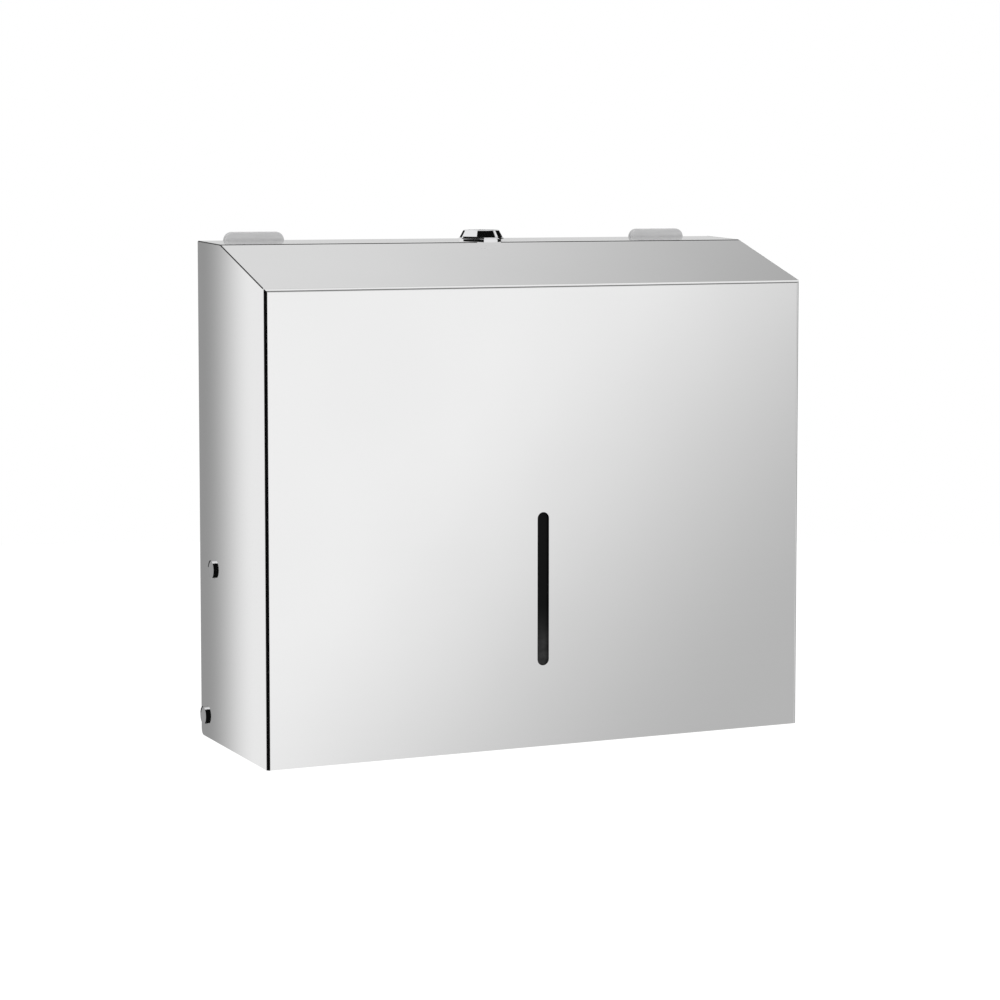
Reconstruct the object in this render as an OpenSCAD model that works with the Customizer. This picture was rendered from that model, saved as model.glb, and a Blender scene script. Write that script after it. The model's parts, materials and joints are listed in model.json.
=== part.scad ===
// Wall-mounted dispenser for folded paper towels, in folded stainless sheet.
// Millimetres. X to the right seen from the front, Y towards the wall, Z up.
// The origin is the middle of the wall screw pattern, on the wall face.
// The cover swings down on two hinge pins near its lower rear corners.

/* [Cover] */
// Width over the two sides
cover_w = 275; // [268:1:300]
// Height from the lower edge to the front fold of the top
cover_h = 236; // [225:1:270]
// Depth from the rear edge of the sides to the front face
cover_d = 94; // [92:1:110]
// Drop of the sloping shoulder
slope_drop = 18.8; // [14:0.1:28]
// Depth of the top
top_d = 33; // [33:0.5:40]
// Rise of the top from its front fold to the rear
top_rise = 1.2; // [0.4:0.1:1.4]
// Thickness of the cover sheet
sheet_t = 1; // [0.8:0.1:1.2]
// Inside radius of the folds
fold_r = 0.8; // [0.5:0.1:1.2]
// Outside radius of the soft bend between the shoulder and the top
top_bend_r = 10; // [4:0.5:12]
// Radius of the lower rear corner of the sides
corner_r = 3; // [3:0.5:5]
// Gap from the wall to the rear edge of the sides
wall_gap = 5; // [5:0.5:8]
// Width of the open seams beside the shoulder and the top
seam_gap = 0.5; // [0.3:0.1:0.6]
// Depth of the folded hem under the front
hem_d = 9; // [6:0.5:12]
// Height of the folded lip behind the top
lip_h = 8; // [6:0.5:10]
// Length cut away at the ends of the hem and of the lip
relief = 4; // [3:0.5:6]
// Leg length of the brackets behind the seams
bracket_leg = 10; // [7:0.5:12]
// Sheet thickness of those brackets
bracket_t = 1; // [0.8:0.1:1.0]

/* [Level window] */
// Width of the slot
window_w = 5.9; // [4:0.1:9]
// Length of the slot
window_l = 72.5; // [50:0.5:110]
// Height of its lower end above the lower edge
window_up = 38.4; // [30:0.1:60]
// How far the lens reaches beyond the slot
lens_margin = 5; // [3:0.5:8]
// Thickness of the lens
lens_t = 2; // [1.5:0.1:2.5]
// Thickness of its gasket
gasket_t = 0.5; // [0.3:0.1:0.8]
// Width of the gasket that shows free inside the slot
gasket_set = 1; // [0.5:0.1:1.5]

/* [Hinge and stop] */
// Hinge pin, distance from the rear edge of the sides
hinge_back = 6.3; // [6:0.1:9]
// Hinge pin, height above the lower edge
hinge_up = 10.3; // [10.3:0.1:13]
// Stop pin, distance from the rear edge
stop_back = 19.5; // [14:0.5:24]
// Stop pin, height above the lower edge
stop_up = 82.3; // [76:0.1:85]
// How far the cover opens, in degrees
open_angle = 60; // [40:1:62]
// Diameter of the pin heads
head_d = 8.6; // [7:0.1:10]
// Height of the pin heads
head_h = 1.8; // [1.4:0.1:2.4]
// Straight rim below the dome of the heads
head_rim = 1.3; // [0.5:0.1:1.4]
// Diameter of the pin shoulders
pin_d = 5; // [4.6:0.1:5.4]
// Thread diameter of the pins
thread_d = 4; // [3.5:0.1:4.2]
// Width across flats of the pin nuts
nut_af = 7; // [6.5:0.1:7.4]
// Thickness of the pin nuts
nut_t = 3.2; // [2.4:0.1:3.8]
// Thread left showing past the nuts
thread_end = 0.5; // [0.2:0.1:0.8]
// Diameter of the hinge washers
washer_d = 11; // [9:0.5:12]
// Thickness of the hinge washers
washer_t = 1; // [0.8:0.1:1.2]
// Diameter of the bush on the stop pin
bush_d = 7; // [6.4:0.1:7.6]
// Diameter of the washer on the stop pin
stop_washer_d = 11.5; // [10:0.5:13]
// Thickness of the washer on the stop pin
stop_washer_t = 0.8; // [0.6:0.1:1.2]

/* [Fits] */
// Gap between faces that slide past each other
run_gap = 0.3; // [0.2:0.05:0.4]
// Radial clearance of pins in their holes
pin_fit = 0.05; // [0.02:0.01:0.1]
// Gap left between sheets that are only laid together
lay_gap = 0.1; // [0.05:0.01:0.15]

/* [Wall plate and cheeks] */
// Sheet thickness of the wall plate, cheeks, tray and keeper
frame_t = 1.2; // [1:0.1:1.5]
// Gap from the top of the wall plate up to the height of the front fold of the top
plate_drop = 1; // [0.5:0.1:4]
// Gap below the wall plate and the cheeks, to the lower edge of the cover
frame_up = 3; // [2.5:0.1:4]
// Radius of the corners of the wall plate
plate_r = 4; // [2:0.5:6]
// Distance from the edge of the wall plate to a pad
pad_in = 11.7; // [4:0.1:20]
// Width of a pad
pad_w = 30; // [26:0.5:40]
// Thickness of a pad
pad_t = 3; // [2:0.1:3]
// Height of a pad above the wall plate
pad_up = 6.2; // [5:0.1:8]
// Height of a pad below the top of the wall plate
pad_down = 15; // [10:0.5:20]
// Radius of its upper corners
pad_r = 4.2; // [2:0.1:6]
// Radius of its lower corners
pad_foot_r = 2; // [1:0.1:3]
// Wall screw spacing across
screw_x = 180; // [120:5:200]
// Wall screw spacing up and down
screw_z = 140; // [100:5:150]
// Width of the wall screw slots
screw_d = 5.5; // [4.5:0.1:6.5]
// Length of the wall screw slots
screw_l = 11; // [8:0.5:14]
// Height of the cheeks at the wall
cheek_h = 190; // [150:1:195]
// Depth of the top edge of the cheeks
cheek_top = 42; // [30:1:50]
// Height of the front edge of the cheeks
cheek_front = 96; // [80:1:120]
// Metal left in front of the arc slot
cheek_rim = 5; // [4:0.5:6]
// Width of the rear flange of the cheeks
flange_w = 15; // [13:0.5:18]
// Small corner radius of the cheeks
cheek_r = 6; // [4:0.5:7]
// Gap from the tray ends up to that flange
flange_up = 8; // [6:0.5:10]
// Height of the lowest cheek rivet above the foot of the cheek
cheek_rivet_up = 25; // [24:0.5:30]
// Distance of the highest cheek rivet from the top of the cheek
cheek_rivet_down = 20; // [16:0.5:24]

/* [Tray] */
// Height of the tray above the lower edge of the cover
tray_up = 4; // [3.5:0.1:4.2]
// Gap from the tray to the inside of the front
tray_gap = 4; // [3:0.5:6]
// Height of the front and rear lips of the tray
tray_lip = 12; // [9:0.5:15]
// Height of the end flanges of the tray
tray_end = 15; // [13:0.5:18]
// Fold radius of the tray, inside
tray_fold = 2; // [1:0.1:3]
// Length of the pull slot
throat_l = 190; // [150:1:210]
// Width of the pull slot
throat_w = 45; // [30:1:52]
// Depth of the turned-down rim of the pull slot
throat_rim = 3; // [2:0.1:3.5]
// Width of the flange round that rim
collar_w = 5; // [4:0.1:7]
// Width of the foot of the tray ends
end_foot = 6; // [4:0.5:6.5]
// Distance of the tray rivets from the ends of their flange
end_rivet_in = 7; // [6:0.5:9]
// Gap from the tray ends back to the hinge nuts
end_back = 8; // [6:0.5:10]
// Gap from the tray ends to the front edge of the cheeks
end_fore = 2; // [1:0.5:4]

/* [Lock] */
// Lock axis, distance from the rear edge of the cover
lock_back = 22.2; // [21.8:0.1:24]
// Diameter of the lock head
bezel_d = 22.2; // [21:0.1:22.6]
// Diameter of the lock head at its top
bezel_top_d = 17; // [16:0.1:18.5]
// Height of the lock head
bezel_h = 4.5; // [4:0.1:6]
// Straight foot of the lock head
bezel_foot = 0.8; // [0.7:0.1:2]
// Thickness of the wedge washer below the head, at its front
lock_washer_t = 1.3; // [0.9:0.1:1.4]
// Diameter of the lock barrel
barrel_d = 16; // [15.5:0.1:16.5]
// Width of the barrel over its two flats
barrel_flat = 14; // [13.6:0.1:14.6]
// Length of the barrel below the top of the cover
barrel_l = 21.2; // [20:0.1:24]
// Width across flats of the lock nut
lock_nut_af = 19; // [18.6:0.1:19.4]
// Thickness of the lock nut
lock_nut_t = 4; // [3:0.1:5]
// Diameter of the plug
plug_d = 10.4; // [10:0.1:10.6]
// Diameter of the plug face
plug_face_d = 13; // [12:0.1:13.4]
// Thickness of the plug face
plug_face_t = 2; // [1.5:0.1:2.5]
// Width of the keyway
key_w = 1.8; // [1.4:0.1:2.2]
// Length of the keyway
key_l = 8; // [6:0.1:8.6]
// Depth of the keyway
key_depth = 7; // [5:0.1:9]
// Width of the square end of the plug
drive_w = 6.6; // [6:0.1:7]
// Reach of the cam from the lock axis
cam_reach = 22; // [20:0.5:22.5]
// Width of the cam
cam_w = 12; // [11:0.1:13]
// Thickness of the cam
cam_t = 2; // [1.5:0.1:2.5]
// Diameter of the cam washer
cam_washer_d = 10.5; // [10:0.1:11]
// Thickness of the cam washer
cam_washer_t = 0.8; // [0.6:0.1:1]
// Diameter of the cam screw head
cam_screw_d = 8; // [7:0.1:9]
// Height of the cam screw head
cam_screw_h = 2.4; // [2:0.1:3]
// Length of the cam screw in the plug
cam_screw_l = 7; // [5:0.1:8]

/* [Keeper] */
// Width of the keeper
keeper_w = 9.5; // [8:0.5:11]
// Near edge of the keeper, from the lock axis
keeper_x = 13.5; // [13:0.5:15]
// Gap between the locked cam and the keeper lip
keeper_gap = 0.5; // [0.3:0.1:1]
// Gap between the cam and the arm of the keeper
arm_gap = 1.3; // [0.8:0.1:2]
// Height of the keeper lip
keeper_lip = 5.5; // [5:0.1:6.5]
// Height of the keeper foot on the wall plate
keeper_foot = 17; // [16:0.5:18]
// Height of the lower keeper rivet above the arm
keeper_rivet_up = 5; // [4.6:0.1:5.4]
// Spacing of the keeper rivets
keeper_rivet_step = 6.5; // [6.4:0.1:7]

/* [Rivets] */
// Shank diameter
rivet_d = 3.2; // [2.8:0.1:3.4]
// Head diameter
rivet_head_d = 6; // [5.4:0.1:6.4]
// Head height
rivet_head_h = 1.4; // [1:0.1:1.6]
// How far the flush end lies below the outer face
rivet_sink = 0.1; // [0.05:0.01:0.2]

/* [Hidden] */
$fn = 48;
arc_steps = 8;

// Cover faces
rear_y = -wall_gap;
front_y = rear_y - cover_d;
low_z = -cover_h / 2;
top_z = low_z + cover_h;
slope_z = top_z - slope_drop;
slope_y = rear_y - top_d;
side_x = cover_w / 2;
side_in = side_x - sheet_t;
fold_out = fold_r + sheet_t;
slope_angle = atan2(slope_drop, cover_d - top_d);
top_angle = atan2(top_rise, top_d);

// Fixed frame faces
cheek_out = side_in - washer_t - run_gap;
cheek_in = cheek_out - frame_t;
plate_y = -frame_t;
flange_y = plate_y - frame_t;
frame_z = low_z + frame_up;
plate_top = top_z - plate_drop;
pad_x = cheek_out - pad_in - pad_w / 2;

// Hinge and stop axes, as Y and Z
hinge = [rear_y - hinge_back, low_z + hinge_up];
stop = [rear_y - stop_back, low_z + stop_up];
stop_r = norm(stop - hinge);
stop_a = atan2(stop[1] - hinge[1], stop[0] - hinge[0]);
slot_w = bush_d + 2 * run_gap;
stop_end = hinge + stop_r * [cos(stop_a + open_angle), sin(stop_a + open_angle)];
cheek_y = stop_end[0] - slot_w / 2 - cheek_rim;
shoulder_in = cheek_in - run_gap;

// Tray faces
tray_z = low_z + tray_up;
tray_front = front_y + sheet_t + tray_gap;
tray_rear = flange_y - lay_gap;
tray_x = cheek_in - lay_gap;
throat_y = (tray_front + tray_rear) / 2;
end_rear = hinge[0] - nut_af * 0.6 - end_back;
end_front = cheek_y + end_fore;
tray_rivet_y = [end_rear - end_rivet_in, end_front + end_rivet_in];
tray_rivet_z = tray_z + frame_t + tray_end * 0.55;

// Cheek rivets and flange
cheek_rivet_x = cheek_in - flange_w * 0.55;
cheek_rivet_z = [
    frame_z + cheek_rivet_up,
    frame_z + cheek_h * 0.5,
    frame_z + cheek_h - cheek_rivet_down
];

// Window
window_z = low_z + window_up + window_l / 2;
skin_in = front_y + sheet_t;

// Lock levels
lock_y = rear_y - lock_back;
bezel_z = top_z + lock_washer_t;
face_z = bezel_z + bezel_h - run_gap;
barrel_z = top_z - barrel_l;
cam_z = barrel_z - run_gap - cam_t;
arm_z = cam_z - arm_gap;
keeper_lip_y = lock_y - cam_w / 2 - keeper_gap;
keeper_mid = keeper_x + keeper_w / 2;
keeper_rivet_z = [arm_z + keeper_rivet_up, arm_z + keeper_rivet_up + keeper_rivet_step];

// Which sub-part to draw

steel = [0.80, 0.81, 0.82];
frame_steel = [0.66, 0.67, 0.68];
chrome = [0.88, 0.88, 0.90];
nylon = [0.90, 0.89, 0.84];
black = [0.06, 0.06, 0.07];
grey = [0.62, 0.62, 0.62];

// Outline functions

function unit(v) = v / norm(v);

function right_of(v) = [v[1], -v[0]];

// An open path moved by t to the right of its direction
function inset_path(p, t) = [
    for (i = [0 : len(p) - 1])
        let (before = right_of(unit(p[max(i, 1)] - p[max(i, 1) - 1])))
        let (after = right_of(unit(p[min(i, len(p) - 2) + 1] - p[min(i, len(p) - 2)])))
        p[i] + t * (before + after) / (1 + before * after)
];

// One corner p between a and b, as the points of an arc
function fillet(a, p, b, r) =
    r <= 0 ? [p] :
    let (u = unit(a - p))
    let (v = unit(b - p))
    let (half = acos(u * v) / 2)
    let (c = p + unit(u + v) * r / sin(half))
    let (s = p + u * r / tan(half) - c)
    let (e = p + v * r / tan(half) - c)
    let (from = atan2(s[1], s[0]))
    let (swing = (atan2(e[1], e[0]) - from + 540) % 360 - 180)
    [for (k = [0 : arc_steps])
        let (at = from + swing * k / arc_steps)
        c + r * [cos(at), sin(at)]
    ];

// A closed outline with corner radii r
function rounded(p, r) = [
    for (i = [0 : len(p) - 1])
        each fillet(p[(i + len(p) - 1) % len(p)], p[i], p[(i + 1) % len(p)], r[i])
];

// An open path with the same radius at each inner corner
function rounded_path(p, r) = rounded(p, [for (i = [0 : len(p) - 1]) i == 0 || i == len(p) - 1 ? 0 : r]);

function reversed(p) = [for (i = [len(p) - 1 : -1 : 0]) p[i]];

// Placing helpers

// A flat shape drawn in Y and Z, run from x0 to x1
module across(x0, x1) {
    translate([x0, 0, 0])
        rotate([90, 0, 90])
            linear_extrude(x1 - x0)
                children();
}

// A flat shape drawn in X and Z, run from y0 to y1
module along(y0, y1) {
    translate([0, y1, 0])
        rotate([90, 0, 0])
            linear_extrude(y1 - y0)
                children();
}

// A round bar along X
module bar_x(x0, x1, d) {
    translate([x0, 0, 0])
        rotate([0, 90, 0])
            cylinder(h = x1 - x0, d = d);
}

// A round bar along Y
module bar_y(y0, y1, d) {
    translate([0, y1, 0])
        rotate([90, 0, 0])
            cylinder(h = y1 - y0, d = d);
}

module at_hinge() {
    translate([0, hinge[0], hinge[1]])
        children();
}

module at_stop() {
    translate([0, stop[0], stop[1]])
        children();
}

module at_lock(z) {
    translate([0, lock_y, z])
        children();
}

module both_sides() {
    children();
    mirror([1, 0, 0])
        children();
}

// Flat shapes

// A slot with round ends, long in the second direction
module slot_shape(w, l) {
    square([w, l - w], center = true);
    for (end = [-1, 1])
        translate([0, end * (l - w) / 2])
            circle(d = w);
}

// A sheet folded along a path, the path being its outer side
module folded(path, t, r) {
    polygon(concat(rounded_path(path, r + t), reversed(rounded_path(inset_path(path, t), r))));
}

// Barrel section with two flats, widened by fit
module barrel_shape(fit) {
    intersection() {
        circle(d = barrel_d + 2 * fit);
        square([barrel_flat + 2 * fit, barrel_d * 2], center = true);
    }
}

// Domed rivet, head at x = 0 towards -X, shank towards +X
module rivet(grip) {
    dome_r = (rivet_head_d * rivet_head_d / 4 + rivet_head_h * rivet_head_h) / (2 * rivet_head_h);
    intersection() {
        translate([dome_r - rivet_head_h, 0, 0])
            sphere(r = dome_r);
        bar_x(-rivet_head_h, 0, rivet_head_d);
    }
    bar_x(-rivet_head_h / 2, grip - rivet_sink, rivet_d);
}

// Wall plate and cheeks

// Outline of the wall plate, in X and Z
plate_outline = [
    [-cheek_out, frame_z],
    [cheek_out, frame_z],
    [cheek_out, plate_top],
    [-cheek_out, plate_top]
];

module back_plate() {
    color(frame_steel)
        difference() {
            along(plate_y, 0)
                polygon(rounded(plate_outline, plate_r * [1, 1, 1, 1]));
            for (x = [-1, 1], z = [-1, 1])
                translate([x * screw_x / 2, 0, z * screw_z / 2])
                    along(plate_y - 1, 1)
                        rotate(90)
                            slot_shape(screw_d, screw_l);
            both_sides()
                for (z = cheek_rivet_z)
                    translate([cheek_rivet_x, 0, z])
                        bar_y(plate_y - 1, 1, rivet_d + 2 * pin_fit);
            for (z = keeper_rivet_z)
                translate([keeper_mid, 0, z])
                    bar_y(plate_y - 1, 1, rivet_d + 2 * pin_fit);
        }
}

// Moulded pad on the wall plate, which stands up behind the top of the cover
module pad_right() {
    outline = [
        [pad_x - pad_w / 2, plate_top - pad_down],
        [pad_x + pad_w / 2, plate_top - pad_down],
        [pad_x + pad_w / 2, plate_top + pad_up],
        [pad_x - pad_w / 2, plate_top + pad_up]
    ];
    color(grey)
        along(plate_y - pad_t, plate_y)
            polygon(rounded(outline, [pad_foot_r, pad_foot_r, pad_r, pad_r]));
}

module pad_left() {
    mirror([1, 0, 0])
        pad_right();
}

cheek_outline = [
    [plate_y, frame_z],
    [plate_y, frame_z + cheek_h],
    [plate_y - cheek_top, frame_z + cheek_h],
    [cheek_y, low_z + cheek_front],
    [cheek_y, frame_z]
];

// Points of an arc about c, from angle a to angle b
function arc_points(c, r, a, b, steps) = [
    for (k = [0 : steps])
        c + r * [cos(a + (b - a) * k / steps), sin(a + (b - a) * k / steps)]
];

// Arc slot around the hinge for the bush of the stop pin
module stop_slot() {
    end_a = stop_a + open_angle;
    polygon(concat(
        arc_points(hinge, stop_r + slot_w / 2, stop_a, end_a, 24),
        arc_points(stop_end, slot_w / 2, end_a + 15, end_a + 165, 10),
        arc_points(hinge, stop_r - slot_w / 2, end_a, stop_a, 24),
        arc_points(stop, slot_w / 2, stop_a - 165, stop_a - 15, 10)
    ));
}

module cheek() {
    color(frame_steel)
        difference() {
            union() {
                across(cheek_in, cheek_out)
                    polygon(rounded(cheek_outline, cheek_r * [0, 1, 1.7, 2.4, 1]));
                translate([cheek_in - flange_w, flange_y, frame_z + tray_end + flange_up])
                    cube([flange_w + frame_t / 2, frame_t, cheek_h - tray_end - flange_up - cheek_r]);
            }
            across(cheek_in - 1, cheek_out + 1)
                stop_slot();
            at_hinge()
                bar_x(cheek_in - 1, cheek_out + 1, pin_d + 2 * pin_fit);
            for (y = tray_rivet_y)
                translate([0, y, tray_rivet_z])
                    bar_x(cheek_in - 1, cheek_out + 1, rivet_d + 2 * pin_fit);
            for (z = cheek_rivet_z)
                translate([cheek_rivet_x, 0, z])
                    bar_y(flange_y - 1, plate_y + 1, rivet_d + 2 * pin_fit);
        }
}

module cheek_right() {
    cheek();
}

module cheek_left() {
    mirror([1, 0, 0])
        cheek();
}

module cheek_rivets() {
    color(chrome)
        both_sides()
            for (z = cheek_rivet_z)
                translate([cheek_rivet_x, flange_y, z])
                    rotate([0, 0, 90])
                        rivet(2 * frame_t);
}

// Tray

module towel_tray() {
    path = [
        [tray_rear, tray_z + tray_lip],
        [tray_rear, tray_z],
        [tray_front, tray_z],
        [tray_front, tray_z + tray_lip]
    ];
    color(frame_steel)
        difference() {
            across(-tray_x, tray_x)
                folded(path, frame_t, tray_fold);
            throat_bar(tray_z - 1, tray_z + frame_t + 1, frame_t + pin_fit);
        }
}

// The shape of the pull slot, wider all round by more, from z0 to z1
module throat_bar(z0, z1, more) {
    translate([0, throat_y, z0])
        linear_extrude(z1 - z0)
            rotate(90)
                slot_shape(throat_w + 2 * more, throat_l + 2 * more);
}

// Flanged collar that lines the pull slot
module throat_collar() {
    color(frame_steel)
        difference() {
            union() {
                throat_bar(tray_z - throat_rim, tray_z + frame_t, frame_t);
                throat_bar(tray_z - frame_t, tray_z, collar_w);
            }
            throat_bar(tray_z - throat_rim - 1, tray_z + frame_t + 1, 0);
        }
}

// Angle at one end of the tray, which the rivets hold to the cheek
module tray_end_right() {
    foot_z = tray_z + frame_t;
    path = [
        [tray_x, foot_z + tray_end],
        [tray_x, foot_z],
        [tray_x - end_foot, foot_z]
    ];
    color(frame_steel)
        difference() {
            along(end_front, end_rear)
                folded(path, frame_t, fold_r);
            for (y = tray_rivet_y)
                translate([0, y, tray_rivet_z])
                    bar_x(-tray_x - 1, tray_x + 1, rivet_d + 2 * pin_fit);
        }
}

module tray_end_left() {
    mirror([1, 0, 0])
        tray_end_right();
}

module tray_rivets() {
    color(chrome)
        both_sides()
            for (y = tray_rivet_y)
                translate([tray_x - frame_t, y, tray_rivet_z])
                    rivet(2 * frame_t + lay_gap);
}

// Keeper

module lock_keeper() {
    path = [
        [plate_y, arm_z + keeper_foot],
        [plate_y, arm_z - frame_t],
        [keeper_lip_y - frame_t, arm_z - frame_t],
        [keeper_lip_y - frame_t, arm_z + keeper_lip]
    ];
    color(frame_steel)
        difference() {
            across(keeper_x, keeper_x + keeper_w)
                folded(path, frame_t, fold_r);
            for (z = keeper_rivet_z)
                translate([keeper_mid, 0, z])
                    bar_y(flange_y - 1, plate_y + 1, rivet_d + 2 * pin_fit);
        }
}

module keeper_rivets() {
    color(chrome)
        for (z = keeper_rivet_z)
            translate([keeper_mid, flange_y, z])
                rotate([0, 0, 90])
                    rivet(2 * frame_t);
}

// Cover

// Shoulder and top of the cover, front to rear
slope_path = [[front_y, slope_z], [slope_y, top_z], [rear_y, top_z + top_rise]];

// Height of the top at y
function top_at(y) = top_z + (y - slope_y) * tan(top_angle);

// Front, shoulder and top of the cover, from the lower edge
cover_path = concat([[front_y, low_z]], slope_path);

module cover_outside() {
    across(-side_x, side_x)
        polygon(rounded(
            concat([[rear_y, low_z]], cover_path),
            [corner_r, 0, fold_out, top_bend_r, 0]
        ));
}

// Plan of the cover with folded front corners, grown inwards by t
module cover_plan(t, r) {
    polygon(rounded(
        [
            [-side_x + t, rear_y + t],
            [-side_x + t, front_y + t],
            [side_x - t, front_y + t],
            [side_x - t, rear_y + t]
        ],
        [0, r, r, 0]
    ));
}

module cover_inside() {
    inner = inset_path(cover_path, sheet_t);
    intersection() {
        across(-side_in, side_in)
            polygon(rounded(
                [
                    [rear_y + 2, low_z - 2],
                    [front_y + hem_d, low_z - 2],
                    [front_y + hem_d, low_z + sheet_t],
                    [front_y + sheet_t, low_z + sheet_t],
                    inner[1],
                    inner[2],
                    [rear_y - sheet_t, top_at(rear_y - sheet_t) - sheet_t / cos(top_angle)],
                    [rear_y - sheet_t, top_z - lip_h],
                    [rear_y + 2, top_z - lip_h]
                ],
                [0, 0, 0, fold_r, fold_r, top_bend_r - sheet_t, fold_r, 0, 0]
            ));
        translate([0, 0, low_z - 2])
            linear_extrude(cover_h + top_rise + 2)
                union() {
                    cover_plan(sheet_t, fold_r);
                    translate([-side_in, rear_y])
                        square([2 * side_in, 3]);
                }
    }
}

// Cuts beside the shoulder and the top that leave the seams open
module seams() {
    slope_l = norm([cover_d - top_d, slope_drop]) - fold_out + 0.2;
    top_l = top_d + 2 * fold_out;
    both_sides() {
        translate([side_x, front_y, slope_z])
            rotate([slope_angle, 0, 0])
                translate([0, fold_out + slope_l / 2, 0])
                    rotate([0, -45, 0])
                        cube([6, slope_l, seam_gap], center = true);
        translate([side_x, slope_y, top_z])
            rotate([top_angle, 0, 0])
                translate([0, top_l / 2 - 0.2, 0])
                    rotate([0, -45, 0])
                        cube([6, top_l, seam_gap], center = true);
    }
}

module cover_shell() {
    color(steel)
        difference() {
            intersection() {
                cover_outside();
                translate([0, 0, low_z - 1])
                    linear_extrude(cover_h + top_rise + 2)
                        cover_plan(0, fold_out);
            }
            cover_inside();
            seams();
            both_sides() {
                translate([side_in - relief, front_y + fold_out, low_z - 1])
                    cube([relief, hem_d, sheet_t + fold_r + 1]);
                translate([side_in - relief, rear_y - sheet_t - fold_r, top_z - lip_h - 1])
                    cube([relief, fold_out + 1, lip_h + top_rise - fold_r - 2 * sheet_t + 1]);
            }
            translate([0, 0, window_z])
                along(front_y - 1, skin_in + 1)
                    slot_shape(window_w, window_l);
            at_lock(top_z - sheet_t - 1)
                linear_extrude(sheet_t + top_rise + 2)
                    barrel_shape(pin_fit);
            at_hinge()
                bar_x(-side_x - 1, side_x + 1, pin_d + 2 * pin_fit);
            at_stop()
                bar_x(-side_x - 1, side_x + 1, pin_d + 2 * pin_fit);
        }
}

// Angle strip behind one open seam
module seam_bracket() {
    trim = 3 * fold_out;
    along_slope = unit(slope_path[1] - slope_path[0]);
    path = [
        slope_path[0] + trim * along_slope,
        slope_path[1],
        slope_path[2] - (sheet_t + fold_out) * unit(slope_path[2] - slope_path[1])
    ];
    near = rounded_path(inset_path(path, sheet_t), top_bend_r - sheet_t);
    color(frame_steel)
        union() {
            across(side_in - bracket_leg, side_in)
                polygon(concat(near, reversed(inset_path(path, sheet_t + bracket_t))));
            across(side_in - bracket_t, side_in)
                polygon(concat(near, reversed(inset_path(path, sheet_t + bracket_leg))));
        }
}

module seam_bracket_right() {
    seam_bracket();
}

module seam_bracket_left() {
    mirror([1, 0, 0])
        seam_bracket();
}

// Level window

module window_gasket() {
    color(black)
        translate([0, 0, window_z])
            along(skin_in, skin_in + gasket_t)
                difference() {
                    slot_shape(window_w + 2 * lens_margin, window_l + 2 * lens_margin);
                    slot_shape(window_w + 2 * gasket_set, window_l + 2 * gasket_set);
                }
}

module window_lens() {
    color(black)
        translate([0, 0, window_z])
            along(skin_in + gasket_t, skin_in + gasket_t + lens_t)
                slot_shape(window_w + 2 * lens_margin, window_l + 2 * lens_margin);
}

// Pins of the hinge and the stop, on the right-hand side

// Points of a dome of radius r and height h that starts at height z
function dome_points(r, h, z) =
    let (dome_r = (r * r + h * h) / (2 * h))
    let (rim = asin(r / dome_r))
    [for (k = [0 : arc_steps]) [
        dome_r * sin(rim * (1 - k / arc_steps)),
        z + h - dome_r + dome_r * cos(rim * (1 - k / arc_steps))
    ]];

// Domed shoulder pin with a threaded end that starts at x = end
module turned_pin(end) {
    rotate([0, 90, 0])
        rotate_extrude()
            polygon(concat(
                [
                    [0, end],
                    [thread_d / 2, end],
                    [thread_d / 2, shoulder_in],
                    [pin_d / 2, shoulder_in],
                    [pin_d / 2, side_x],
                    [head_d / 2, side_x]
                ],
                dome_points(head_d / 2, head_h - head_rim, side_x + head_rim)
            ));
}

module hinge_pin() {
    color(chrome)
        at_hinge()
            turned_pin(shoulder_in - nut_t - thread_end);
}

module hinge_pin_right() {
    hinge_pin();
}

module hinge_pin_left() {
    mirror([1, 0, 0])
        hinge_pin();
}

module hinge_washers() {
    color(nylon)
        both_sides()
            at_hinge()
                difference() {
                    bar_x(side_in - washer_t, side_in, washer_d);
                    bar_x(side_in - washer_t - 1, side_in + 1, pin_d + 2 * pin_fit);
                }
}

module pin_nut(x) {
    difference() {
        translate([x - nut_t, 0, 0])
            rotate([0, 90, 0])
                cylinder(h = nut_t, d = nut_af / cos(30), $fn = 6);
        bar_x(x - nut_t - 1, x + 1, thread_d + 2 * pin_fit);
    }
}

module hinge_nuts() {
    color(chrome)
        both_sides()
            at_hinge()
                pin_nut(shoulder_in);
}

module stop_pin() {
    color(chrome)
        at_stop()
            turned_pin(shoulder_in - stop_washer_t - nut_t - thread_end);
}

module stop_pin_right() {
    stop_pin();
}

module stop_pin_left() {
    mirror([1, 0, 0])
        stop_pin();
}

module stop_bushes() {
    color(nylon)
        both_sides()
            at_stop()
                difference() {
                    bar_x(shoulder_in, side_in, bush_d);
                    bar_x(shoulder_in - 1, side_in + 1, pin_d + 2 * pin_fit);
                }
}

module stop_washers() {
    color(chrome)
        both_sides()
            at_stop()
                difference() {
                    bar_x(shoulder_in - stop_washer_t, shoulder_in, stop_washer_d);
                    bar_x(shoulder_in - stop_washer_t - 1, shoulder_in + 1, thread_d + 2 * pin_fit);
                }
}

module stop_nuts() {
    color(chrome)
        both_sides()
            at_stop()
                pin_nut(shoulder_in - stop_washer_t);
}

// Lock

// Cut below by the sloping top, so that the lock stands upright
module lock_washer() {
    color(chrome)
        difference() {
            at_lock(top_z - sheet_t / 2)
                linear_extrude(sheet_t / 2 + lock_washer_t)
                    difference() {
                        circle(d = bezel_d - 1);
                        circle(d = barrel_d + 2 * pin_fit);
                    }
            cover_outside();
        }
}

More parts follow.
